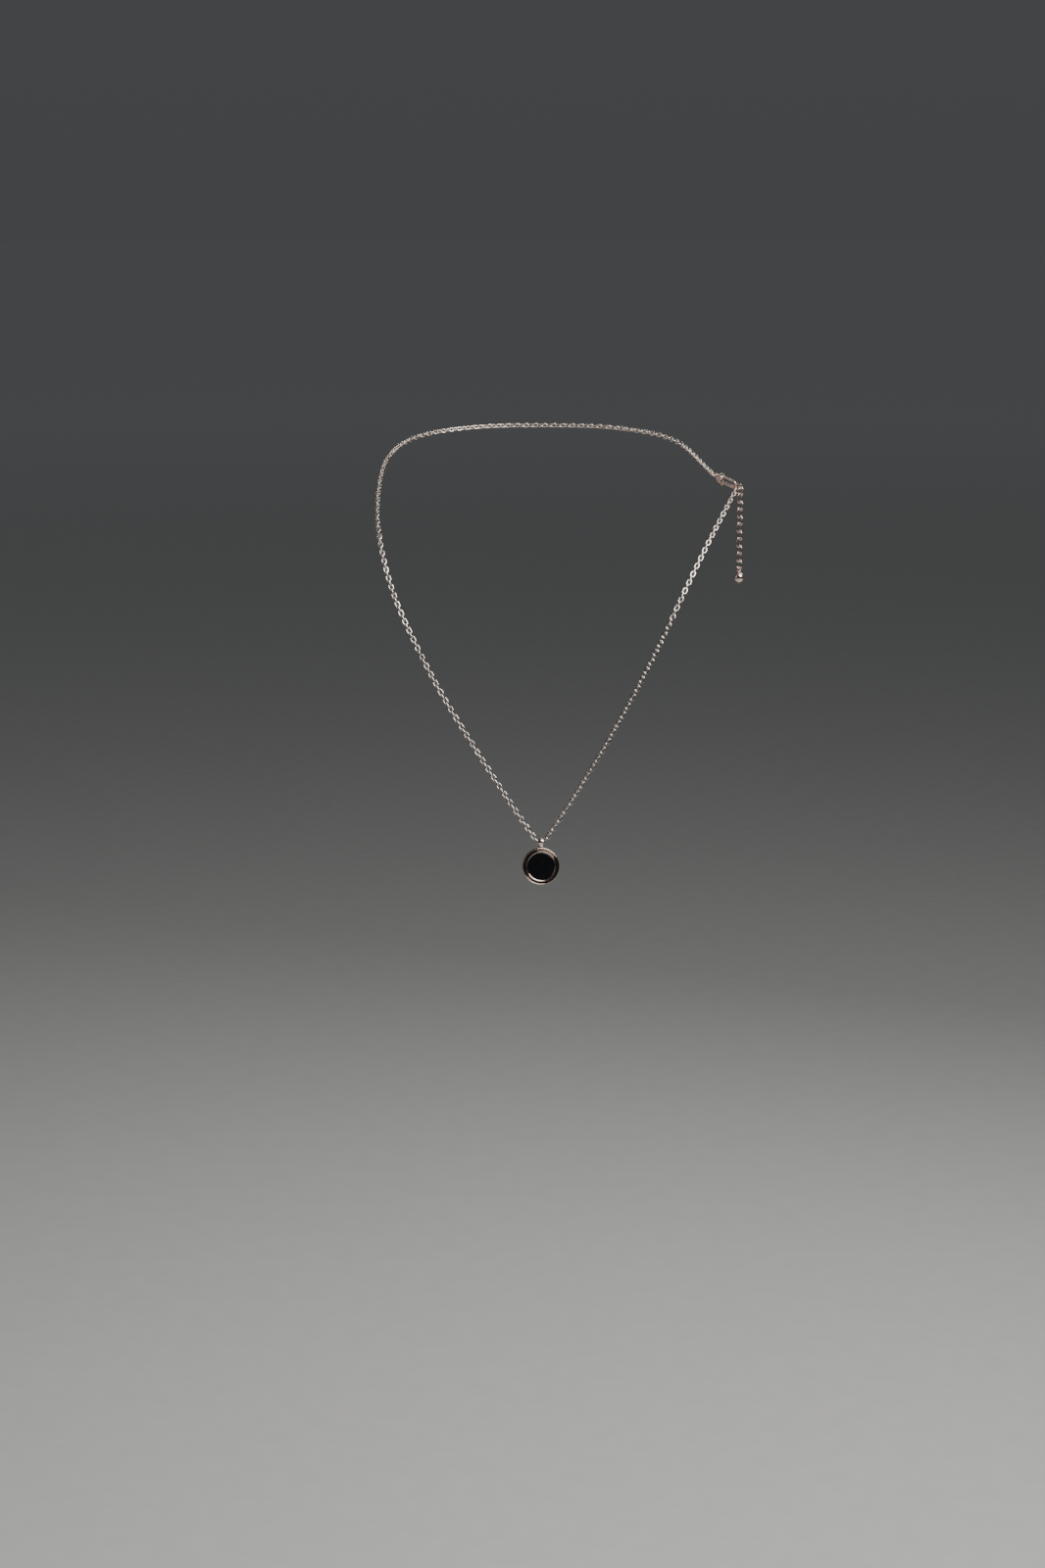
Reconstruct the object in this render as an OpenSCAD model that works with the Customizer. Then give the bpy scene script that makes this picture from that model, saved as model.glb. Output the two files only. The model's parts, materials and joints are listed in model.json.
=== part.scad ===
// Pendant necklace: a fine cable chain with a round stone pendant, drawn in the
// draped shape it takes on a neck. Origin at the nape, +X to the right as seen from the front,
// +Y towards the wearer's back, +Z up. Every link is a separate solid.

/* [Chain] */
// Thickness of a chain link across its two rolled flats.
link_flat = 0.3; // [0.26:0.02:0.36]
// Overall width of one chain link.
link_width = 1.65; // [1.62:0.01:1.7]

/* [Pendant] */
// Outside diameter of the round pendant case.
case_diameter = 11.6; // [11.2:0.1:12]
// Thickness of the case, from its back to its front rim.
case_depth = 2; // [1.8:0.1:2.4]
// Diameter of the raised ring that holds the stone.
bezel_diameter = 9.6; // [9.3:0.1:9.7]

/* [Clasp] */
// Outside diameter of the ring that the clasp hooks into.
end_ring_diameter = 3; // [3:0.05:3.1]
// Thickness of the clasp body across its flat sides.
clasp_thickness = 1.7; // [1.6:0.05:1.9]

/* [Hidden] */
play = 0.06;
fit = 0.02;
through = 4;
facets = 48;
turned_facets = 96;
wire_facets = 24;

// One chain link, the distance from link to link, and from a joint point to a link's end wire.
link_length = 2.48;
link_wire = 0.42;
pitch = link_length - 2 * link_wire - play;
reach = (link_length - link_wire - pitch) / 2;

// Pendant, in its own frame: front face towards -Y, up +Z, origin at its centre. It leans back
// like the chest it lies on, and its case hangs turned a little to the right on the bail.
pendant_centre = [-2, -106, -130];
lean = 13;
case_turn = 8;
case_radius = case_diameter / 2;
case_floor = 0.7;
floor_face = case_floor - case_depth / 2;
rim_wall = 0.36;
bezel_radius = bezel_diameter / 2;
bezel_wall = 0.45;
bezel_rise = 0.35;
bezel_front = case_depth / 2 + bezel_rise;
stone_radius = bezel_radius - bezel_wall - fit;
stone_inset = 0.25;
eyelet_wire = 0.35;
eyelet_bore = 0.5;

// Bail: a folded strap, wide round top, narrow foot through the eyelet.
bail_wall = 0.26;
bail_bore = 0.92;
bail_half_width = 0.9;
strap_half_width = 0.22;
strap_bore = 0.3;
strap_tip = 0.36;
strap_height = case_radius + 0.415 + strap_bore;
vertex_height = case_radius + 1.9;
shoulder_angle = 40;

function from_pendant(p) =
  pendant_centre + [
    p[0],
    p[1] * cos(lean) + p[2] * sin(lean),
    p[2] * cos(lean) - p[1] * sin(lean)
  ];
function strand_start(side) =
  let (run = pitch / 2 - reach + (pitch + reach) * cos(shoulder_angle))
  from_pendant([side * run, 0, vertex_height + (pitch + reach) * sin(shoulder_angle)]);

// Routes of the two strands: a point, then the way the chain's flat side faces.
front_face = [0, -0.97, 0.22];
long_route = [
  [strand_start(-1), front_face],
  [[-11, -102.2, -111.4], front_face],
  [[-22, -98.8, -94.8], [0, -0.97, 0.23]],
  [[-33, -94.6, -77.4], [0, -0.96, 0.27]],
  [[-42, -89.1, -61], [0, -0.91, 0.42]],
  [[-49, -81.5, -46], [0, -0.84, 0.54]],
  [[-53.4, -70.5, -31], [0, -0.74, 0.67]],
  [[-54.6, -57, -18.5], [-0.1, -0.6, 0.79]],
  [[-52.2, -39, -8], [-0.3, -0.3, 0.9]],
  [[-43, -18, -2.5], [-0.4, 0.2, 0.9]],
  [[-24, -3.5, -0.4], [-0.3, 0.7, 0.65]],
  [[0, 0, 0], [0, 0.8, 0.6]],
  [[24, -3.5, -0.6], [0.3, 0.7, 0.65]],
  [[43, -20, -3.5], [0.4, 0.2, 0.9]],
  [[54.1, -47.6, -12.1], [0.25, -0.2, 0.95]]
];
short_route = [
  [strand_start(1), front_face],
  [[10.4, -101, -105.6], front_face],
  [[23, -96.3, -84.8], [0, -0.96, 0.26]],
  [[33.6, -90.4, -65.8], [0, -0.93, 0.37]],
  [[43.2, -82.6, -47], [0, -0.84, 0.54]],
  [[52.4, -70.8, -30.6], [0, -0.74, 0.67]],
  [[61.6, -55.6, -16.4], [-0.15, -0.58, 0.8]]
];

function unit(v) = v / norm(v);
function square_to(v, t) = unit(v - (v * t) * t);

// A smooth curve through a route's points, and its length so far at each step.
steps = 12;
function curve(p0, p1, p2, p3, u) =
  0.5 * (2 * p1 + (p2 - p0) * u + (2 * p0 - 5 * p1 + 4 * p2 - p3) * u * u
    + (3 * p1 - 3 * p2 + p3 - p0) * u * u * u);
function row(r, k, f) =
  k < 0 ? 2 * r[0][f] - r[1][f]
  : k >= len(r) ? 2 * r[len(r) - 1][f] - r[len(r) - 2][f]
  : r[k][f];
function dense(r, f) = [
  for (k = [0:len(r) - 2], j = [0:steps - 1])
    curve(row(r, k - 1, f), row(r, k, f), row(r, k + 1, f), row(r, k + 2, f), j / steps),
  r[len(r) - 1][f]
];
function lengths(p) = [
  for (i = 0, s = 0; i < len(p); i = i + 1, s = s + (i < len(p) ? norm(p[i] - p[i - 1]) : 0)) s
];
function route_length(r) = let (s = lengths(dense(r, 0))) s[len(s) - 1];
function even_count(r) = 2 * round(route_length(r) / pitch / 2);
function column(s, p, a) = [for (i = [0:len(p) - 1]) [s[i], p[i][a]]];
function stations(r, f, count) =
  let (
    s = lengths(dense(r, 0)),
    q = dense(r, f),
    x = column(s, q, 0),
    y = column(s, q, 1),
    z = column(s, q, 2)
  )
  [for (i = [0:count]) let (a = s[len(s) - 1] * i / count) [lookup(a, x), lookup(a, y), lookup(a, z)]];

long_count = even_count(long_route);
short_count = even_count(short_route);
long_points = stations(long_route, 0, long_count);
long_faces = stations(long_route, 1, long_count);
short_points = stations(short_route, 0, short_count);
short_faces = stations(short_route, 1, short_count);

// Where the front folds and where the back is divided, in links from the pendant.
long_folds = [0, 12, 26, 44, 56, 68, 84];
short_folds = [0, 12, 26, 42, 54, 68, short_count];
back_parts = [84, 102, 121, 141, 158, 174, long_count];

// Rings at the two open ends of the chain.
end_ring_wire = 0.45;
end_ring_radius = (end_ring_diameter - end_ring_wire) / 2;
jump_ring_wire = 0.42;
jump_ring_diameter = 2.7;
jump_ring_radius = (jump_ring_diameter - jump_ring_wire) / 2;
function hooked(wire, radius) = reach - link_wire / 2 - wire / 2 - play + radius;
short_end = unit(short_points[short_count] - short_points[short_count - 1]);
long_end = unit(long_points[long_count] - long_points[long_count - 1]);
end_ring_centre = short_points[short_count] + hooked(end_ring_wire, end_ring_radius) * short_end;
jump_ring_centre = long_points[long_count] + hooked(jump_ring_wire, jump_ring_radius) * long_end;

// Clasp, in its own frame: eye at the origin, nose towards +X, lever side +Y.
clasp_axis = unit(end_ring_centre - jump_ring_centre);
end_face = unit(cross(clasp_axis, short_end));
jump_face = unit(cross(long_end, clasp_axis));
clasp_up = -unit(end_face + jump_face);
eye_wire = 0.45;
eye_bore = 0.5;
eye_radius = eye_bore + eye_wire / 2;
eye_offset = eye_bore - jump_ring_wire / 2 - play + jump_ring_radius;
eye_centre = jump_ring_centre + eye_offset * clasp_axis;
hook_wire = 0.6;
hook_radius = 1.15;
ring_offset = end_ring_radius - end_ring_wire / 2 - play - hook_wire / 2;
nose = norm(end_ring_centre - eye_centre) - ring_offset;
nose_centre = nose - hook_radius;
stem_radius = 0.4;
base_x = 2.1;
base_radius = 1.45;
throat_x = base_x + 2.3;
throat_radius = 1.7;
arm_overlap = 0.3;
hook_tip = 0.4;
pin_x = 1.9;
pin_y = 0.7;
pin_radius = 0.22;
slot = 0.7;
slot_corner = [1, 0.1];
lever_thickness = 0.56;

// Extender, hanging straight down from the outer side of the end ring.
extender_wire = 0.45;
extender_flat = 0.34;
extender_length = 3.4;
extender_width = 2.5;
extender_play = 0.1;
extender_pitch = extender_length - 2 * extender_wire - extender_play;
extender_links = 11;
extender_parts = [0, 4, 7, extender_links];
extender_hang = end_ring_centre + end_ring_radius * clasp_axis;
extender_tangent = cross(end_face, clasp_axis);
extender_side = unit([extender_tangent[0], extender_tangent[1], 0]);
extender_drop = extender_length / 2 - end_ring_wire / 2 - extender_wire - extender_play;
drop_wire = 0.4;
drop_eye = 1.7;
drop_head = [0.9, 0.2];
bead_radius = 1.6;
bead_flat = 0.08;
bead_gap = 0.1;

// Moves a child from its own frame to a point, with its X along t and its Z near n.
module place(at, t, n) {
  x = unit(t);
  z = square_to(n, x);
  y = cross(z, x);
  multmatrix([
    [x[0], y[0], z[0], at[0]],
    [x[1], y[1], z[1], at[1]],
    [x[2], y[2], z[2], at[2]],
    [0, 0, 0, 1]
  ]) children();
}

module in_pendant() {
  translate(pendant_centre) rotate([-lean, 0, 0]) children();
}

module in_case() {
  in_pendant() rotate([0, 0, case_turn]) children();
}

module in_clasp() {
  place(eye_centre, clasp_axis, cross(clasp_axis, clasp_up)) children();
}

// An oval link lying flat, its long way along X. Its round wire is rolled down to the flat.
module oval(length, width, wire, flat) {
  bend = (width - wire) / 2;
  straight = length - width;
  intersection() {
    for (turn = [0, 180])
      rotate([0, 0, turn]) {
        translate([straight / 2, 0, 0])
          rotate([0, 0, -90])
            rotate_extrude(angle = 180, $fn = facets)
              translate([bend, 0]) circle(d = wire, $fn = wire_facets);
        translate([-straight / 2, bend, 0])
          rotate([0, 90, 0]) cylinder(d = wire, h = straight, $fn = wire_facets);
      }
    cube([length + wire, width + wire, flat], center = true);
  }
}

// A closed round ring, its axis along Z.
module ring(diameter, wire) {
  rotate_extrude($fn = facets)
    translate([(diameter - wire) / 2, 0]) circle(d = wire, $fn = wire_facets);
}

module chain_link() {
  oval(link_length, link_width, link_wire, link_flat);
}

// Links first to last - 1 of a strand, every second one turned on edge.
module strand(points, faces, first, last) {
  for (i = [first:last - 1])
    place((points[i] + points[i + 1]) / 2, points[i + 1] - points[i], faces[i] + faces[i + 1])
      rotate([90 * (i % 2), 0, 0]) chain_link();
}

module long_strand(first, last) {
  color("Silver") strand(long_points, long_faces, first, last);
}

module short_strand(first, last) {
  color("Silver") strand(short_points, short_faces, first, last);
}

// The link inside the bail and the link on each side of it.
module bail_links() {
  color("Silver") in_pendant() translate([0, 0, vertex_height]) {
    rotate([90, 0, 0]) chain_link();
    for (side = [0, 180])
      rotate([0, 0, side])
        translate([pitch / 2 - reach, 0, 0])
          rotate([0, -shoulder_angle, 0])
            translate([(link_length - link_wire) / 2, 0, 0]) chain_link();
  }
}

// A plate across Y, wide and round above, narrow and round below.
module tapered_plate(high, high_radius, low, low_radius) {
  a = asin((high_radius - low_radius) / (high - low));
  for (end = [[high, high_radius], [low, low_radius]])
    translate([0, 0, end[0]])
      rotate([90, 0, 0]) cylinder(r = end[1], h = through, center = true, $fn = facets);
  rotate([90, 0, 0]) linear_extrude(through, center = true) polygon([
    [high_radius * cos(a), high - high_radius * sin(a)],
    [low_radius * cos(a), low - low_radius * sin(a)],
    [-low_radius * cos(a), low - low_radius * sin(a)],
    [-high_radius * cos(a), high - high_radius * sin(a)]
  ]);
}

// The folded strap, seen from the side as a drop-shaped loop.
module bail() {
  outer = bail_bore + bail_wall;
  top = vertex_height + outer;
  color("RosyBrown") in_pendant() difference() {
    intersection() {
      rotate([0, 0, 90])
        tapered_plate(vertex_height, outer, strap_height, strap_bore + bail_wall);
      tapered_plate(top - bail_half_width, bail_half_width, strap_height - strap_tip, strap_half_width);
    }
    rotate([0, 0, 90]) tapered_plate(vertex_height, bail_bore, strap_height, strap_bore);
  }
}

// An outline of radius and depth turned about the pendant's own middle, its front towards -Y.
module turned(outline) {
  rotate([90, 0, 0]) rotate_extrude($fn = turned_facets) polygon(outline);
}

// The cup of the pendant: floor, outer rim and the groove inside the rim.
module case() {
  front = case_depth / 2;
  groove_radius = case_radius - rim_wall;
  back_edge = 0.3;
  outer_edge = 0.1;
  inner_edge = 0.08;
  color("RosyBrown") in_case() turned([
    [0, -front],
    [case_radius - back_edge, -front],
    [case_radius, back_edge - front],
    [case_radius, front - outer_edge],
    [case_radius - outer_edge, front],
    [groove_radius + inner_edge, front],
    [groove_radius, front - inner_edge],
    [groove_radius, floor_face],
    [0, floor_face]
  ]);
}

// The raised ring round the stone, standing on the floor of the case.
module bezel() {
  seat = floor_face + fit;
  inner = bezel_radius - bezel_wall;
  edge = 0.12;
  outer_drop = 0.15;
  inner_drop = 0.2;
  color("RosyBrown") in_case() turned([
    [inner, seat],
    [bezel_radius, seat],
    [bezel_radius, bezel_front - outer_drop],
    [bezel_radius - edge, bezel_front],
    [inner + edge, bezel_front],
    [inner, bezel_front - inner_drop]
  ]);
}

// The polished black stone, flat with a bevelled edge.
module stone() {
  seat = floor_face + fit;
  front = bezel_front - stone_inset;
  bevel = [0.3, 0.15];
  color("Black") in_case() turned([
    [0, seat],
    [stone_radius, seat],
    [stone_radius, front - bevel[1]],
    [stone_radius - bevel[0], front],
    [0, front]
  ]);
}

// Half ring soldered on top of the case; the foot of the bail passes through it.
module eyelet() {
  color("RosyBrown") in_case() difference() {
    translate([0, 0, case_radius])
      rotate([90, 0, 0]) ring(2 * (eyelet_bore + eyelet_wire), eyelet_wire);
    rotate([90, 0, 0])
      cylinder(r = case_radius + fit / 2, h = through, center = true, $fn = turned_facets);
  }
}

module end_ring() {
  color("RosyBrown") place(end_ring_centre, clasp_axis, end_face)
    ring(end_ring_diameter, end_ring_wire);
}

module jump_ring() {
  color("RosyBrown") place(jump_ring_centre, clasp_axis, jump_face)
    ring(jump_ring_diameter, jump_ring_wire);
}

module rivet_bore() {
  translate([pin_x, pin_y, 0])
    cylinder(r = pin_radius + fit, h = through, center = true, $fn = facets);
}

// Eye, slotted base and round hook of the lobster clasp.
module clasp_body() {
  color("RosyBrown") in_clasp() {
    difference() {
      union() {
        ring(2 * (eye_bore + eye_wire), eye_wire);
        translate([eye_radius, 0, 0])
          rotate([0, 90, 0]) cylinder(r = stem_radius, h = base_x - eye_radius, $fn = facets);
        translate([base_x, 0, 0])
          cylinder(r = base_radius, h = clasp_thickness, center = true, $fn = facets);
      }
      cylinder(r = eye_bore, h = through, center = true, $fn = facets);
      translate([throat_x, 0, 0])
        cylinder(r = throat_radius, h = through, center = true, $fn = facets);
      translate([slot_corner[0], slot_corner[1], -slot / 2]) cube([through, through, slot]);
      rivet_bore();
    }
    translate([base_x - arm_overlap, -hook_radius, 0])
      rotate([0, 90, 0]) cylinder(d = hook_wire, h = nose_centre - base_x + arm_overlap, $fn = facets);
    translate([nose_centre, 0, 0])
      rotate([0, 0, -90])
        rotate_extrude(angle = 180, $fn = facets)
          translate([hook_radius, 0]) circle(d = hook_wire, $fn = wire_facets);
    translate([nose_centre - hook_tip, hook_radius, 0])
      rotate([0, 90, 0]) cylinder(d = hook_wire, h = hook_tip, $fn = facets);
  }
}

// The gate of the clasp, with its thumb tab and the tongue that closes the hook.
module clasp_lever() {
  boss_radius = 0.5;
  tip = nose_centre - 0.5;
  arm_low = 0.62;
  arm_high = 1.4;
  tongue = [1.05, 0.4];
  tongue_corner = [tip - 0.4, 0.4];
  tab_x = pin_x + 0.55;
  tab_width = 0.7;
  tab_top = 1.95;
  tab_overlap = 0.2;
  color("RosyBrown") in_clasp() difference() {
    linear_extrude(lever_thickness, center = true) {
      translate([pin_x, pin_y]) circle(r = boss_radius, $fn = facets);
      translate([pin_x, arm_low]) square([tip - pin_x, arm_high - arm_low]);
      translate(tongue_corner) square(tongue);
      translate([tab_x, arm_high - tab_overlap]) square([tab_width, tab_top - arm_high + tab_overlap]);
      translate([tab_x + tab_width / 2, tab_top]) circle(d = tab_width, $fn = facets);
    }
    rivet_bore();
  }
}

// The rivet that the lever turns on, with a head at each end.
module clasp_pin() {
  head = 0.12;
  head_margin = 0.12;
  color("Silver") in_clasp() translate([pin_x, pin_y, 0]) {
    cylinder(r = pin_radius, h = clasp_thickness + 2 * fit, center = true, $fn = facets);
    for (side = [-1, 1])
      translate([0, 0, side * (clasp_thickness / 2 + fit + head / 2)])
        cylinder(r = pin_radius + head_margin, h = head, center = true, $fn = facets);
  }
}

// A thin bent leaf in the slot that presses the lever shut.
module clasp_spring() {
  leaf = 0.1;
  leaf_length = 1.05;
  leaf_width = 0.4;
  leaf_hook = 0.3;
  corner = [pin_x - 0.45, slot_corner[1] + fit, -leaf_width / 2];
  color("Silver") in_clasp() translate(corner) {
    cube([leaf_length, leaf, leaf_width]);
    cube([leaf, leaf_hook, leaf_width]);
  }
}

// Links first to last - 1 of the extender, every second one turned a quarter.
module extender(first, last) {
  color("Silver") for (i = [first:last - 1])
    translate(extender_hang - [0, 0, extender_drop + i * extender_pitch])
      place([0, 0, 0], [0, 0, -1], extender_side)
        rotate([90 * (i % 2), 0, 0])
          oval(extender_length, extender_width, extender_wire, extender_flat);
}

function drop_top() =
  extender_hang - [0, 0, extender_drop + (extender_links - 1) * extender_pitch
    + extender_length / 2 - extender_wire - drop_wire - extender_play + drop_eye / 2];

// Wire with a round eye above, running down through the bead to a small head.
module drop_pin() {
  stem = 2 * bead_radius + bead_gap + 0.25;
  foot = drop_wire / 2 - drop_eye / 2 - stem;
  color("Silver") translate(drop_top()) {
    place([0, 0, 0], [0, 0, -1], cross(extender_side, [0, 0, 1])) ring(drop_eye, drop_wire);
    translate([0, 0, foot])
      cylinder(d = drop_wire, h = stem, $fn = facets);
    translate([0, 0, foot - drop_head[1]])
      cylinder(d = drop_head[0], h = drop_head[1], $fn = facets);
  }
}

module drop_bead() {
  color("Silver") translate(drop_top() - [0, 0, drop_eye / 2 + bead_radius + bead_gap]) difference() {
    sphere(r = bead_radius, $fn = facets);
    cylinder(d = drop_wire + 2 * fit, h = through, center = true, $fn = facets);
    for (side = [-1, 1])
      translate([0, 0, side * (bead_radius - bead_flat + through / 2)])
        cube(through, center = true);
  }
}

// Front strands are numbered from the shoulders down to the pendant.
long_strand(long_folds[5], long_folds[6]);  // left_front_1
long_strand(long_folds[4], long_folds[5]);  // left_front_2
long_strand(long_folds[3], long_folds[4]);  // left_front_3
long_strand(long_folds[2], long_folds[3]);  // left_front_4
long_strand(long_folds[1], long_folds[2]);  // left_front_5
long_strand(long_folds[0], long_folds[1]);  // left_front_6
short_strand(short_folds[5], short_folds[6]);  // right_front_1
short_strand(short_folds[4], short_folds[5]);  // right_front_2
short_strand(short_folds[3], short_folds[4]);  // right_front_3
short_strand(short_folds[2], short_folds[3]);  // right_front_4
short_strand(short_folds[1], short_folds[2]);  // right_front_5
short_strand(short_folds[0], short_folds[1]);  // right_front_6
bail_links();
long_strand(back_parts[0], back_parts[1]);  // left_shoulder_chain
long_strand(back_parts[1], back_parts[2]);  // left_neck_chain
long_strand(back_parts[2], back_parts[3]);  // left_nape_chain
long_strand(back_parts[3], back_parts[4]);  // right_nape_chain
long_strand(back_parts[4], back_parts[5]);  // right_neck_chain
long_strand(back_parts[5], back_parts[6]);  // right_shoulder_chain
jump_ring();
end_ring();
clasp_body();
clasp_lever();
clasp_pin();
clasp_spring();
extender(extender_parts[0], extender_parts[1]);  // extender_upper
extender(extender_parts[1], extender_parts[2]);  // extender_middle
extender(extender_parts[2], extender_parts[3]);  // extender_lower
drop_pin();
drop_bead();
bail();
eyelet();
case();
bezel();
stone();
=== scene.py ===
"""Looks for the pendant necklace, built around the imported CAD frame."""

import json
import math
import random

import bmesh
import bpy
import numpy as np
from mathutils import Matrix, Vector


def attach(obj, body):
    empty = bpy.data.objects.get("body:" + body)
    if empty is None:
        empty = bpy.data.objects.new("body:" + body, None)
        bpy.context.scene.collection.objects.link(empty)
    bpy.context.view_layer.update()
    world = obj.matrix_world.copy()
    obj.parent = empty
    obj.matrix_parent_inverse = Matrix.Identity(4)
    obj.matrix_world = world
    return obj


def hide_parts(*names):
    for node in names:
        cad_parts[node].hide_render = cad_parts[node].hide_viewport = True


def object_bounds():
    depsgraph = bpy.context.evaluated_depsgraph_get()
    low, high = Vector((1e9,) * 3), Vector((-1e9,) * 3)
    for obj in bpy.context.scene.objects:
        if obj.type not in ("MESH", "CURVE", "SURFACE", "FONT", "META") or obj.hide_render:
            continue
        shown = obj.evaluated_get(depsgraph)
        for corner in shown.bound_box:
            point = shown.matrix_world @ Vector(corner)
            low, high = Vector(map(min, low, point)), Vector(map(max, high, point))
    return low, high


MM = 0.001
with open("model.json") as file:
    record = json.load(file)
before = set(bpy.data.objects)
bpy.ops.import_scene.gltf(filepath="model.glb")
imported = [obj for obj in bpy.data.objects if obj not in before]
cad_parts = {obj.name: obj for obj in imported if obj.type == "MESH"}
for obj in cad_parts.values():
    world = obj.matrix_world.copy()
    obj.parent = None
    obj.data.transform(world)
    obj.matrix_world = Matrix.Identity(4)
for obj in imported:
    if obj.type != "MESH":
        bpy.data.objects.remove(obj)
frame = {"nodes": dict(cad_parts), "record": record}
cad_low, cad_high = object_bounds()
record = frame["record"]
nodes = frame["nodes"]
joints = {j["name"]: j for j in record["behaviour"]["joints"]}
mounts = {m["name"]: m for m in record["mounts"]}
body_of_node = {n: b for b, members in record["behaviour"]["bodies"].items() for n in members}
slot_of_node = {s["node"]: s["material_slot"] for s in record["subparts"]}
scene = bpy.context.scene


# Camera: a little above the nape, looking down on the pendant by CAMERA_PITCH degrees.
CAMERA_PITCH = 12
CAMERA_LENS = 60
CAMERA_PLACE = (-0.0077, -0.9041, 0.0661)
camera_data = bpy.data.cameras.new("camera")
camera_data.lens = CAMERA_LENS
camera_data.sensor_width = 36
camera_data.clip_start = 0.01
camera_data.clip_end = 200
camera = bpy.data.objects.new("camera", camera_data)
camera.location = CAMERA_PLACE
camera.rotation_euler = (math.radians(90 - CAMERA_PITCH), 0, 0)
scene.collection.objects.link(camera)
scene.camera = camera


# Materials


def new_material(name):
    material = bpy.data.materials.new(name)
    material.use_nodes = True
    tree = material.node_tree
    return material, tree, tree.nodes["Principled BSDF"]


def noise(tree, scale, detail=4.0, roughness=0.5):
    """A noise texture in object space, with scale in cycles per metre."""
    place = tree.nodes.new("ShaderNodeTexCoord")
    texture = tree.nodes.new("ShaderNodeTexNoise")
    texture.inputs["Scale"].default_value = scale
    texture.inputs["Detail"].default_value = detail
    texture.inputs["Roughness"].default_value = roughness
    tree.links.new(place.outputs["Object"], texture.inputs["Vector"])
    return texture


def ramp(tree, source, stops):
    """A colour ramp driven by source; stops are (position, grey or colour)."""
    node = tree.nodes.new("ShaderNodeValToRGB")
    elements = node.color_ramp.elements
    while len(elements) < len(stops):
        elements.new(0.5)
    for element, (position, value) in zip(elements, stops):
        element.position = position
        colour = (value,) * 3 if isinstance(value, (int, float)) else value
        element.color = (*colour, 1)
    tree.links.new(source, node.inputs["Fac"])
    return node.outputs["Color"]


def metal(name, colour, roughness, wear=0.06, scratch=0.02):
    """Polished plated metal: faint tone changes, soft wear in the polish and fine polishing marks."""
    material, tree, shader = new_material(name)
    shader.inputs["Metallic"].default_value = 1
    tone = noise(tree, 700, 3)
    dark = tuple(c * (1 - wear) ** (k + 1) for k, c in enumerate(colour))
    plating = ramp(tree, tone.outputs["Fac"], [(0.3, dark), (0.7, colour)])
    tree.links.new(plating, shader.inputs["Base Color"])
    polish = noise(tree, 2600, 5, 0.65)
    tree.links.new(
        ramp(tree, polish.outputs["Fac"], [(0.35, roughness * 0.75), (0.75, roughness * 1.35)]),
        shader.inputs["Roughness"],
    )
    marks = noise(tree, 9000, 6, 0.7)
    bump = tree.nodes.new("ShaderNodeBump")
    bump.inputs["Strength"].default_value = scratch
    bump.inputs["Distance"].default_value = 0.00003
    tree.links.new(marks.outputs["Fac"], bump.inputs["Height"])
    tree.links.new(bump.outputs["Normal"], shader.inputs["Normal"])
    return material


def polished_stone(name):
    """Near-black stone with very faint brown and blue clouds under a glassy polish."""
    material, tree, shader = new_material(name)
    clouds = noise(tree, 420, 6, 0.6)
    tree.links.new(
        ramp(
            tree,
            clouds.outputs["Fac"],
            [(0.3, (0.004, 0.005, 0.006)), (0.55, (0.006, 0.006, 0.007)), (0.8, (0.011, 0.01, 0.01))],
        ),
        shader.inputs["Base Color"],
    )
    shader.inputs["Roughness"].default_value = 0.07
    shader.inputs["Specular IOR Level"].default_value = 0.4
    shader.inputs["Coat Weight"].default_value = 0.25
    shader.inputs["Coat Roughness"].default_value = 0.03
    return material


MATERIALS = {
    "chain": metal("chain_metal", (0.92, 0.83, 0.78), 0.10),
    "extender": metal("extender_metal", (0.88, 0.72, 0.65), 0.16),
    "rings": metal("ring_metal", (0.88, 0.69, 0.61), 0.14),
    "clasp": metal("clasp_metal", (0.88, 0.69, 0.61), 0.18, 0.08, 0.04),
    "rivet": metal("rivet_metal", (0.85, 0.68, 0.60), 0.22),
    "spring": metal("spring_steel", (0.55, 0.55, 0.56), 0.35),
    "drop": metal("drop_metal", (0.88, 0.70, 0.62), 0.12),
    "bail": metal("bail_metal", (0.90, 0.76, 0.69), 0.12),
    # Painted dark reflection: the case and bezel metal is darker than the other plated parts, so it
    # reflects as if the room in front were darker.
    "pendant_case": metal("case_metal_painted_dark_reflection", (0.66, 0.55, 0.49), 0.10),
    "stone": polished_stone("stone"),
}


# Mesh helpers. Shapes are made in millimetres and placed by a 4 x 4 matrix.


def add_piece(name, verts, faces, stands_for, smooth_angle=40):
    """A mesh object in the row frame that stands for CAD nodes and rides on their body."""
    mesh = bpy.data.meshes.new(name)
    mesh.from_pydata([tuple(v) for v in verts], [], [tuple(f) for f in faces])
    mesh.validate()
    mesh.materials.append(MATERIALS[slot_of_node[stands_for]])
    obj = bpy.data.objects.new(name, mesh)
    scene.collection.objects.link(obj)
    for polygon in mesh.polygons:
        polygon.use_smooth = True
    sharpen(mesh, smooth_angle)
    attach(obj, body_of_node[stands_for])
    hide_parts(stands_for)
    return obj


def sharpen(mesh, degrees):
    """Marks edges sharper than the angle, so that smooth shading stops there."""
    work = bmesh.new()
    work.from_mesh(mesh)
    bmesh.ops.recalc_face_normals(work, faces=work.faces)
    limit = math.radians(degrees)
    for edge in work.edges:
        edge.smooth = not (len(edge.link_faces) == 2 and edge.calc_face_angle(0) > limit)
    work.to_mesh(mesh)
    work.free()


def placed(points, matrix):
    """Millimetre points put through a placing matrix, as metres."""
    return np.asarray(points) * MM @ matrix[:3, :3].T + matrix[:3, 3]


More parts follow.
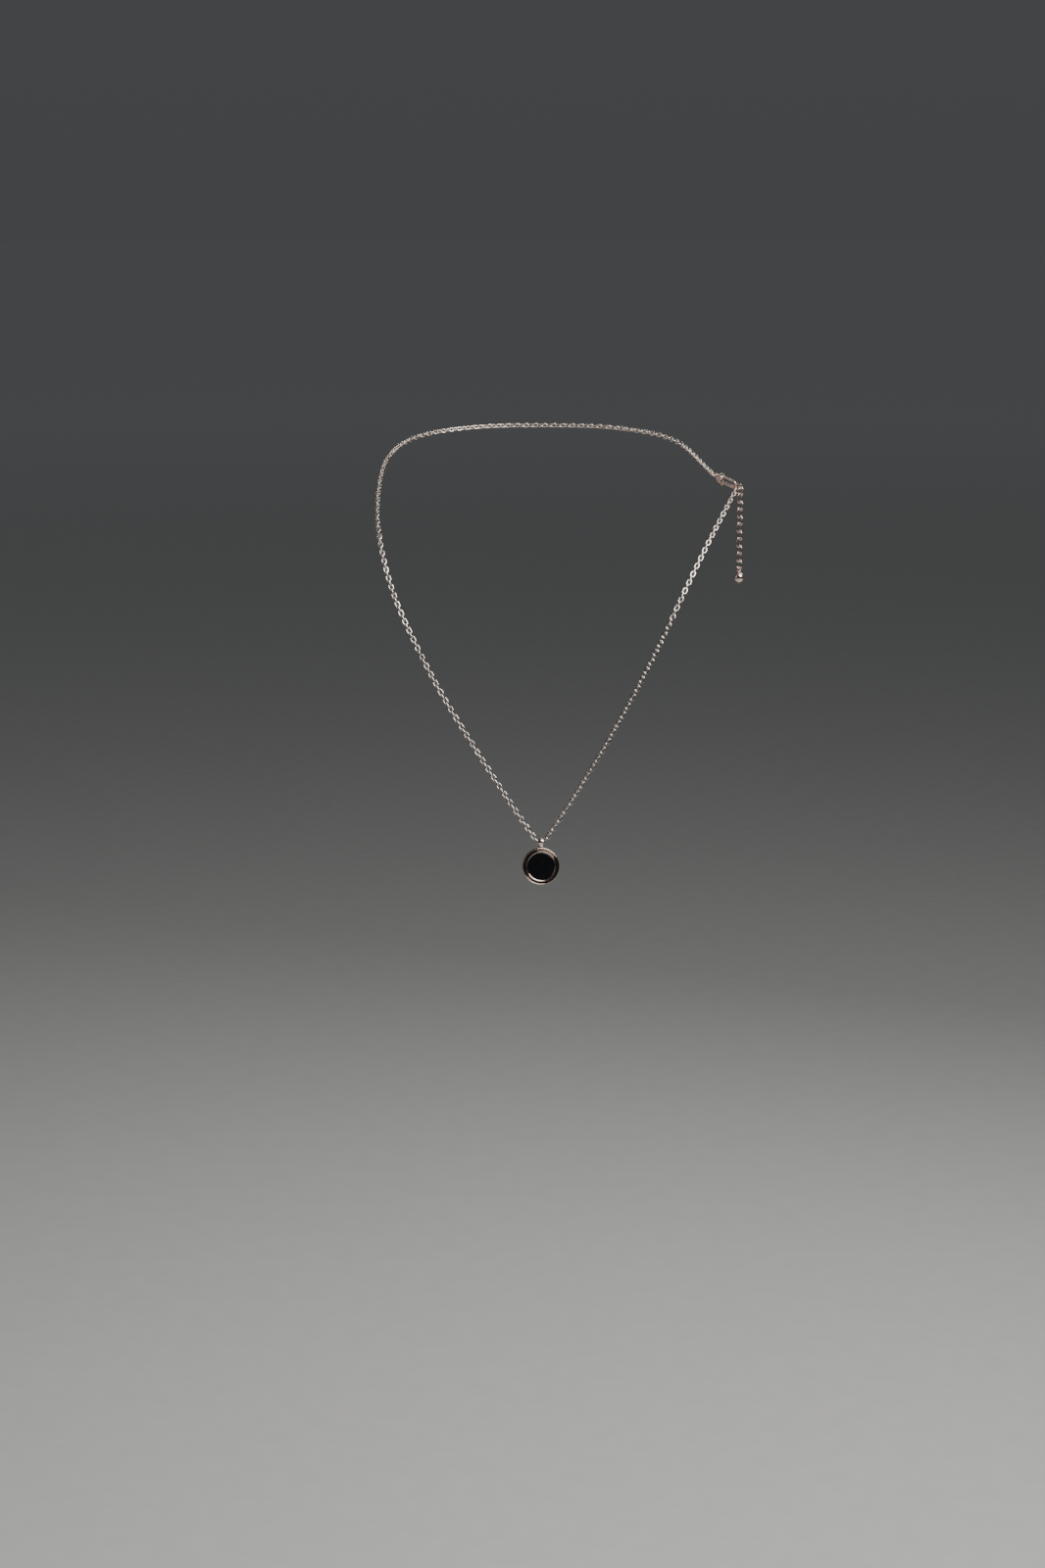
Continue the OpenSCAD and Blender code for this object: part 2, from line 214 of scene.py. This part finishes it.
def tube(path, side, up, scale, section, closed=True):
    """A section swept along path, as wide as scale says; side and up span each section's plane."""
    around = len(section)
    spread = section[None, :, 0, None] * side[:, None, :] + section[None, :, 1, None] * up[:, None, :]
    verts = path[:, None, :] + spread * scale[:, None, None]
    count = len(path)
    faces = []
    for i in range(count if closed else count - 1):
        j = (i + 1) % count
        for k in range(around):
            m = (k + 1) % around
            faces.append((i * around + k, j * around + k, j * around + m, i * around + m))
    if not closed:
        faces.append(tuple(range(around))[::-1])
        faces.append(tuple((count - 1) * around + k for k in range(around)))
    return verts.reshape(-1, 3), faces


def round_section(diameter, around=20):
    angles = np.arange(around) * 2 * math.pi / around
    return np.column_stack([np.cos(angles), np.sin(angles)]) * diameter / 2


def lathe(profile, steps=160):
    """A solid of revolution about Y from (radius, y) points; the ends lie on the axis."""
    rows = [p for p in profile if p[0] > 1e-6]
    angles = np.arange(steps) * 2 * math.pi / steps
    verts = [(r * math.cos(a), y, r * math.sin(a)) for r, y in rows for a in angles]
    faces = []
    for i in range(len(rows) - 1):
        for k in range(steps):
            m = (k + 1) % steps
            faces.append((i * steps + k, i * steps + m, (i + 1) * steps + m, (i + 1) * steps + k))
    if profile[0][0] <= 1e-6:
        verts.append((0, profile[0][1], 0))
        faces += [(len(verts) - 1, (k + 1) % steps, k) for k in range(steps)]
    if profile[-1][0] <= 1e-6:
        last = (len(rows) - 1) * steps
        verts.append((0, profile[-1][1], 0))
        faces += [(len(verts) - 1, last + k, last + (k + 1) % steps) for k in range(steps)]
    if profile[0] == profile[-1]:
        faces = [tuple(v % ((len(rows) - 1) * steps) for v in f) for f in faces]
        verts = verts[: (len(rows) - 1) * steps]
    return verts, faces


def rounded(corners, radius, steps=6, closed=False):
    """The outline through corners with each inner corner rounded by about radius."""
    points = [Vector(c) for c in corners]
    count = len(points)
    out = []
    for i, here in enumerate(points):
        if not closed and i in (0, count - 1):
            out.append(tuple(here))
            continue
        before, after = points[i - 1], points[(i + 1) % count]
        reach = min(radius, (before - here).length * 0.45, (after - here).length * 0.45)
        start = here + (before - here).normalized() * reach
        end = here + (after - here).normalized() * reach
        for k in range(steps + 1):
            t = k / steps
            out.append(tuple(start * (1 - t) ** 2 + here * 2 * t * (1 - t) + end * t * t))
    if closed:
        out.append(out[0])
    return out


# What the CAD solids say: separate islands of a node, and their frames.


def islands(node):
    """The separate solids of a CAD node, each as an array of points."""
    work = bmesh.new()
    work.from_mesh(nodes[node].data)
    bmesh.ops.remove_doubles(work, verts=work.verts, dist=2e-6)
    work.verts.index_update()
    seen, found = set(), []
    for start in work.verts:
        if start.index in seen:
            continue
        stack, group = [start], []
        seen.add(start.index)
        while stack:
            vert = stack.pop()
            group.append(tuple(vert.co))
            for edge in vert.link_edges:
                other = edge.other_vert(vert)
                if other.index not in seen:
                    seen.add(other.index)
                    stack.append(other)
        found.append(np.array(group))
    work.free()
    return found


# A way out of the necklace's front, by which own_frame picks the sign of a solid's thin axis.
OUTWARD = np.array([0.11, -0.83, 0.55])


def own_frame(points):
    """A matrix with the solid's longest axis as X and its thinnest as Z, and its three sizes in mm."""
    middle = (points.min(0) + points.max(0)) / 2
    _, axes = np.linalg.eigh(np.cov((points - middle).T))
    x, z = axes[:, 2], axes[:, 0]
    x = x if x[2] >= 0 else -x
    z = z if z @ OUTWARD >= 0 else -z
    y = np.cross(z, x)
    turn = np.column_stack([x, y, z])
    local = (points - middle) @ turn
    centre = middle + turn @ ((local.min(0) + local.max(0)) / 2)
    matrix = np.eye(4)
    matrix[:3, :3] = turn
    matrix[:3, 3] = centre
    return matrix, np.ptp(local, axis=0) / MM


# Chain links
# How much of the wire's round side and of its flat is left where the corner is eased, how much
# fuller the soldered seam is and how far it reaches, in wires, and how far links roll, in degrees.
ROUND_SHARE = 0.78
FLAT_SHARE = 0.86
SEAM_SWELL = 0.06
SEAM_REACH = 0.45
LINK_ROLL = 3
LINK_ROLL_LIMIT = 6


def flat_section(wire, flat):
    """The section of a round wire rolled down to a flat on each side, with eased corners."""
    edge = math.sqrt(wire * wire - flat * flat) / 2
    turn = math.asin(flat / wire)
    round_side = np.linspace(-ROUND_SHARE * turn, ROUND_SHARE * turn, 5)
    arc = [(wire / 2 * math.cos(a), wire / 2 * math.sin(a)) for a in round_side]
    top = [(edge * k, flat / 2) for k in (FLAT_SHARE, -FLAT_SHARE)]
    half = arc + top
    return np.array(half + [(-x, -y) for x, y in half])


def link_shape(length, width, wire, flat):
    """An oval link of flat-rolled wire, a touch fuller where its ends were soldered."""
    bend, straight = (width - wire) / 2, length - width
    turns, runs = 12, 4
    path = []
    for side in (1, -1):
        for k in range(turns):
            a = math.pi * (k + 0.5) / turns - math.pi / 2
            path.append((side * (straight / 2 + bend * math.cos(a)), side * bend * math.sin(a), 0))
        for k in range(runs):
            t = (k + 0.5) / runs - 0.5
            path.append((-side * straight * t, side * bend, 0))
    path = np.array(path)
    ahead = np.roll(path, -1, axis=0) - np.roll(path, 1, axis=0)
    ahead /= np.linalg.norm(ahead, axis=1)[:, None]
    up = np.tile([0.0, 0.0, 1.0], (len(path), 1))
    side = np.cross(ahead, up)
    from_seam = np.linalg.norm(path - np.array([0, -bend, 0]), axis=1)
    scale = 1 + SEAM_SWELL * np.exp(-((from_seam / (SEAM_REACH * wire)) ** 2))
    return tube(path, side, up, scale, flat_section(wire, flat))


def wire_width(points, matrix, length, width):
    """The width of a link's wire, from the points beside its straight runs, in mm."""
    local = (points - matrix[:3, 3]) @ matrix[:3, :3] / MM
    beside = np.abs(local[:, 0]) < (length - width) / 2 + 0.02
    return width / 2 - np.abs(local[beside, 1]).min()


def rolled(angle):
    """A turn about X as a 4 x 4 array."""
    return np.array(Matrix.Rotation(angle, 4, "X"))


def relink(node, chance):
    """Smooth links in place of a CAD node's links, each turned a little on its own long axis."""
    verts, faces = [], []
    base = 0
    for points in islands(node):
        matrix, (length, width, flat) = own_frame(points)
        wire = wire_width(points, matrix, length, width)
        shape, quads = link_shape(length, width, wire, flat)
        roll = max(-LINK_ROLL_LIMIT, min(LINK_ROLL_LIMIT, chance.gauss(0, LINK_ROLL)))
        verts.append(placed(shape, matrix @ rolled(math.radians(roll))))
        faces += [tuple(v + base for v in f) for f in quads]
        base += len(shape)
    return add_piece(node + "_links", np.concatenate(verts), faces, node, 60)


chance = random.Random(11)
for chain_node in sorted(nodes):
    if slot_of_node[chain_node] in ("chain", "extender"):
        relink(chain_node, chance)


# Rings


def round_ring(node, cut=0.0):
    """A ring of round wire; a cut leaves the hairline split of an opened jump ring, in mm."""
    matrix, (outer, _, wire) = own_frame(np.concatenate(islands(node)))
    radius = (outer - wire) / 2
    steps = 64
    gap = cut / radius
    turn = np.linspace(gap / 2, 2 * math.pi - gap / 2, steps, endpoint=bool(cut))
    side = np.column_stack([np.cos(turn), np.sin(turn), np.zeros(steps)])
    up = np.tile([0.0, 0.0, 1.0], (steps, 1))
    verts, faces = tube(side * radius, side, up, np.ones(steps), round_section(wire), not cut)
    return add_piece(node + "_wire", placed(verts, matrix), faces, node)


round_ring("end_ring")
round_ring("jump_ring", cut=0.04)


# Pendant, in its own frame: front towards -Y, up +Z, millimetres from the case's middle


back = mounts["pendant_back"]
pendant = np.eye(4)
pendant[:3, 1] = back["axis"]
upward = np.cross((1, 0, 0), back["axis"])
pendant[:3, 2] = upward / np.linalg.norm(upward)
pendant[:3, 0] = np.cross(pendant[:3, 1], pendant[:3, 2])


def in_pendant(node):
    """A node's points in millimetres in the pendant's frame."""
    points = np.concatenate(islands(node))
    return (points - pendant[:3, 3]) @ pendant[:3, :3] / MM


pendant[:3, 3] = back["pos_m"]
case_depth = np.ptp(in_pendant("case")[:, 1])
pendant[:3, 3] = pendant[:3, 3] - pendant[:3, 1] * case_depth / 2 * MM


def turned_size(node):
    """Inner radius, outer radius, front and back of a turned node."""
    points = in_pendant(node)
    radius = np.hypot(points[:, 0], points[:, 2])
    return radius.min(), radius.max(), points[:, 1].min(), points[:, 1].max()


def turned(name, node, profile):
    verts, faces = lathe(profile)
    return add_piece(name, placed(verts, pendant), faces, node, 50)


_, case_radius, case_front, case_back = turned_size("case")
bezel_inner, bezel_outer, bezel_front, bezel_seat = turned_size("bezel")
_, stone_radius, stone_front, stone_back = turned_size("stone")
# The case's rim, the edge and shallow step of its back, and how far its corners are rounded.
RIM = 0.36
BACK_EDGE = 0.3
BACK_STEP = 0.12
STEP_FROM, STEP_TO = 0.62 * case_radius, 0.66 * case_radius
CASE_ROUNDING = 0.16
case_outline = [
    (0, case_back - BACK_STEP),
    (STEP_FROM, case_back - BACK_STEP),
    (STEP_TO, case_back),
    (case_radius - BACK_EDGE, case_back),
    (case_radius, case_back - BACK_EDGE),
    (case_radius, case_front),
    (case_radius - RIM, case_front),
    (case_radius - RIM, bezel_seat),
    (0, bezel_seat),
]
turned("case_cup", "case", rounded(case_outline, CASE_ROUNDING))

# Bevels are given as width and depth.
BEZEL_BEVEL = (0.2, 0.12)
BEZEL_ROUNDING = 0.09
bezel_outline = [
    (bezel_inner, bezel_seat),
    (bezel_outer, bezel_seat),
    (bezel_outer, bezel_front),
    (bezel_inner + BEZEL_BEVEL[0], bezel_front),
    (bezel_inner, bezel_front + BEZEL_BEVEL[1]),
]
turned("bezel_ring", "bezel", rounded(bezel_outline, BEZEL_ROUNDING, closed=True))

STONE_BEVEL = (0.14, 0.08)
STONE_ROUNDING = 0.06
stone_outline = [
    (0, stone_back),
    (stone_radius, stone_back),
    (stone_radius, stone_front + STONE_BEVEL[1]),
    (stone_radius - STONE_BEVEL[0], stone_front),
    (0, stone_front),
]
turned("stone_disc", "stone", rounded(stone_outline, STONE_ROUNDING))


def soften(node, name, voxel, passes):
    """A cast-looking version of a CAD solid: remeshed finely and relaxed a little."""
    mesh = nodes[node].data.copy()
    mesh.transform(Matrix.Scale(1 / MM, 4))
    obj = bpy.data.objects.new(name, mesh)
    scene.collection.objects.link(obj)
    remesh = obj.modifiers.new("remesh", "REMESH")
    remesh.mode = "VOXEL"
    remesh.voxel_size = voxel
    smooth = obj.modifiers.new("smooth", "SMOOTH")
    smooth.factor = 0.5
    smooth.iterations = passes
    done = bpy.data.meshes.new_from_object(obj.evaluated_get(bpy.context.evaluated_depsgraph_get()))
    bpy.data.objects.remove(obj)
    verts = [tuple(v.co * MM) for v in done.vertices]
    faces = [tuple(p.vertices) for p in done.polygons]
    return add_piece(name, verts, faces, node, 75)


# CAD node, piece, voxel in mm and smoothing passes.
SOFTENED = (
    ("clasp_body", "clasp_body_cast", 0.05, 14),
    ("clasp_lever", "clasp_lever_cast", 0.04, 8),
    ("clasp_pin", "clasp_rivet", 0.03, 3),
    ("clasp_spring", "clasp_leaf", 0.02, 2),
    ("drop_bead", "drop_bead_ball", 0.06, 3),
    ("drop_pin", "drop_wire", 0.04, 3),
    ("eyelet", "eyelet_loop", 0.03, 3),
)
for cast in SOFTENED:
    soften(*cast)


# Bail: a strap folded over a round top and a smaller round foot, crowned across its width


BAIL_TOP = 1.18
BAIL_FOOT = 0.56
BAIL_WALL = 0.26
BAIL_CROWN = 0.17


def strap_skin(y, z, drop):
    """How far a point is outside the strap's folded outline, and the way out from it."""
    lean = (BAIL_TOP - BAIL_FOOT) / drop
    rise = math.sqrt(1 - lean * lean)
    across, down = abs(y), -z
    along = rise * down - lean * across
    if along < 0:
        centre = 0.0
    elif along > rise * drop:
        centre = drop
    else:
        way = Vector((math.copysign(rise, y), -lean))
        return rise * across + lean * down - BAIL_TOP, way
    way = Vector((y, z + centre))
    return way.length - (BAIL_TOP if centre == 0 else BAIL_FOOT), way.normalized()


def crown_bail(piece):
    """Draws the strap's outer skin in towards its two edges, most where it is widest."""
    top = np.array(joints["bail_swing"]["pos_m"])
    up = top - np.array(joints["pendant_tilt"]["pos_m"])
    up /= np.linalg.norm(up)
    ahead = np.cross(up, (1, 0, 0))
    points = np.array([tuple(v.co) for v in piece.data.vertices]) - top
    x, y, z = points[:, 0] / MM, points @ ahead / MM, points @ up / MM
    drop = -z.min() - BAIL_FOOT
    half = np.abs(x).max()
    for vert, px, py, pz in zip(piece.data.vertices, x, y, z):
        outside, way = strap_skin(py, pz, drop)
        level = min(1, max(0, 1 + outside / BAIL_WALL))
        sink = BAIL_CROWN * level * (px / half) ** 2 * MM
        vert.co -= Vector(ahead * way[0] + up * way[1]) * sink


crown_bail(soften("bail", "bail_strap", 0.03, 6))


# Studio


def area_light(name, place, target, size, watts, colour=(1, 1, 1)):
    data = bpy.data.lights.new(name, "AREA")
    data.shape = "RECTANGLE"
    data.size, data.size_y = size
    data.energy = watts
    data.color = colour
    light = bpy.data.objects.new(name, data)
    light.location = place
    light.rotation_euler = (Vector(target) - Vector(place)).to_track_quat("-Z", "Y").to_euler()
    scene.collection.objects.link(light)


middle = Vector((cad_low + cad_high) / 2)
area_light("overhead", middle + Vector((0.5, -0.42, 0.7)), middle, (0.85, 0.85), 16, (1.0, 0.985, 0.96))
area_light("left", middle + Vector((-0.95, -0.25, 0.35)), middle, (0.35, 0.8), 0.7, (0.93, 0.96, 1.0))
area_light("behind", middle + Vector((0.35, 0.85, 0.45)), middle, (0.7, 0.4), 3, (1.0, 0.99, 0.97))


def smooth_step(tree, source, low, high):
    """A smooth step of a value from 0 at low to 1 at high."""
    share = tree.nodes.new("ShaderNodeMapRange")
    share.interpolation_type = "SMOOTHSTEP"
    share.inputs["From Min"].default_value = low
    share.inputs["From Max"].default_value = high
    tree.links.new(source, share.inputs["Value"])
    return share.outputs["Result"]


def blended(tree, share, first, second):
    """Two colours mixed by share; either may be a colour or another node's output."""
    mix = tree.nodes.new("ShaderNodeMix")
    mix.data_type = "RGBA"
    tree.links.new(share, mix.inputs[0])
    for socket, colour in ((mix.inputs[6], first), (mix.inputs[7], second)):
        if isinstance(colour, tuple):
            socket.default_value = (*colour, 1)
        else:
            tree.links.new(colour, socket)
    return mix.outputs[2]


# Degrees from the middle of the room's unlit side at which it starts, and is fully dark.
DARK_SPREAD = (55, 25)
# Heights on a unit sky between which that side fades in, and the horizon's tone turns into the top's.
DARK_RISE = (0.07, 0.17)
TONE_RISE = (0.0, 0.4)


def dim_room(horizon, above, dark, towards):
    """A dim grey room, lighter above, with an unlit side that starts just over the horizon."""
    world = bpy.data.worlds.new("studio")
    world.use_nodes = True
    tree = world.node_tree
    place = tree.nodes.new("ShaderNodeTexCoord")
    facing = tree.nodes.new("ShaderNodeVectorMath")
    facing.operation = "DOT_PRODUCT"
    facing.inputs[1].default_value = Vector(towards).normalized()
    tree.links.new(place.outputs["Generated"], facing.inputs[0])
    split = tree.nodes.new("ShaderNodeSeparateXYZ")
    tree.links.new(place.outputs["Generated"], split.inputs[0])
    outer, inner = (math.cos(math.radians(angle)) for angle in DARK_SPREAD)
    side = smooth_step(tree, facing.outputs["Value"], outer, inner)
    over = smooth_step(tree, split.outputs["Z"], *DARK_RISE)
    both = tree.nodes.new("ShaderNodeMath")
    both.operation = "MULTIPLY"
    tree.links.new(side, both.inputs[0])
    tree.links.new(over, both.inputs[1])
    rise = smooth_step(tree, split.outputs["Z"], *TONE_RISE)
    sky = blended(tree, rise, horizon, above)
    colour = blended(tree, both.outputs[0], sky, dark)
    tree.links.new(colour, tree.nodes["Background"].inputs["Color"])
    scene.world = world


dim_room((0.062, 0.064, 0.066), (0.078, 0.08, 0.082), (0.010, 0.010, 0.011), (0.2, -0.9, 0.38))


def paper(name, colour, far_painted_light_colour, near, far):
    """Pale matte paper with a faint unevenness, which evens out towards the horizon, where the paper is
    painted lighter so its dimly lit far part matches the sky's tone.
    """
    material, tree, shader = new_material(name)
    place = tree.nodes.new("ShaderNodeTexCoord")
    distance = tree.nodes.new("ShaderNodeVectorMath")
    distance.operation = "LENGTH"
    tree.links.new(place.outputs["Object"], distance.inputs[0])
    fibres = noise(tree, 60, 4)
    low = tuple(c * 0.96 for c in colour)
    near_colour = ramp(tree, fibres.outputs["Fac"], [(0.3, low), (0.7, colour)])
    # Painted light: between near and far metres from the middle, the paper blends to a whiter far
    # colour so the dim far floor matches the sky.
    share = smooth_step(tree, distance.outputs["Value"], near, far)
    tree.links.new(blended(tree, share, near_colour, far_painted_light_colour), shader.inputs["Base Color"])
    shader.inputs["Roughness"].default_value = 0.9
    shader.inputs["Specular IOR Level"].default_value = 0.05
    return material


def studio_floor(radius, height):
    """A wide round sheet of paper under the object."""
    sides = 96
    angles = np.arange(sides) * 2 * math.pi / sides
    edge = [(radius * math.cos(a), radius * math.sin(a), 0) for a in angles]
    mesh = bpy.data.meshes.new("studio_floor")
    mesh.from_pydata(edge, [], [tuple(range(sides))])
    mesh.materials.append(paper("floor_paper", (0.78, 0.78, 0.77), (0.98, 0.98, 0.98), 2, 9))
    obj = bpy.data.objects.new("studio_floor", mesh)
    obj.location = (0, 0, height)
    scene.collection.objects.link(obj)


studio_floor(150, -0.60)
scene.view_settings.view_transform = "AgX"
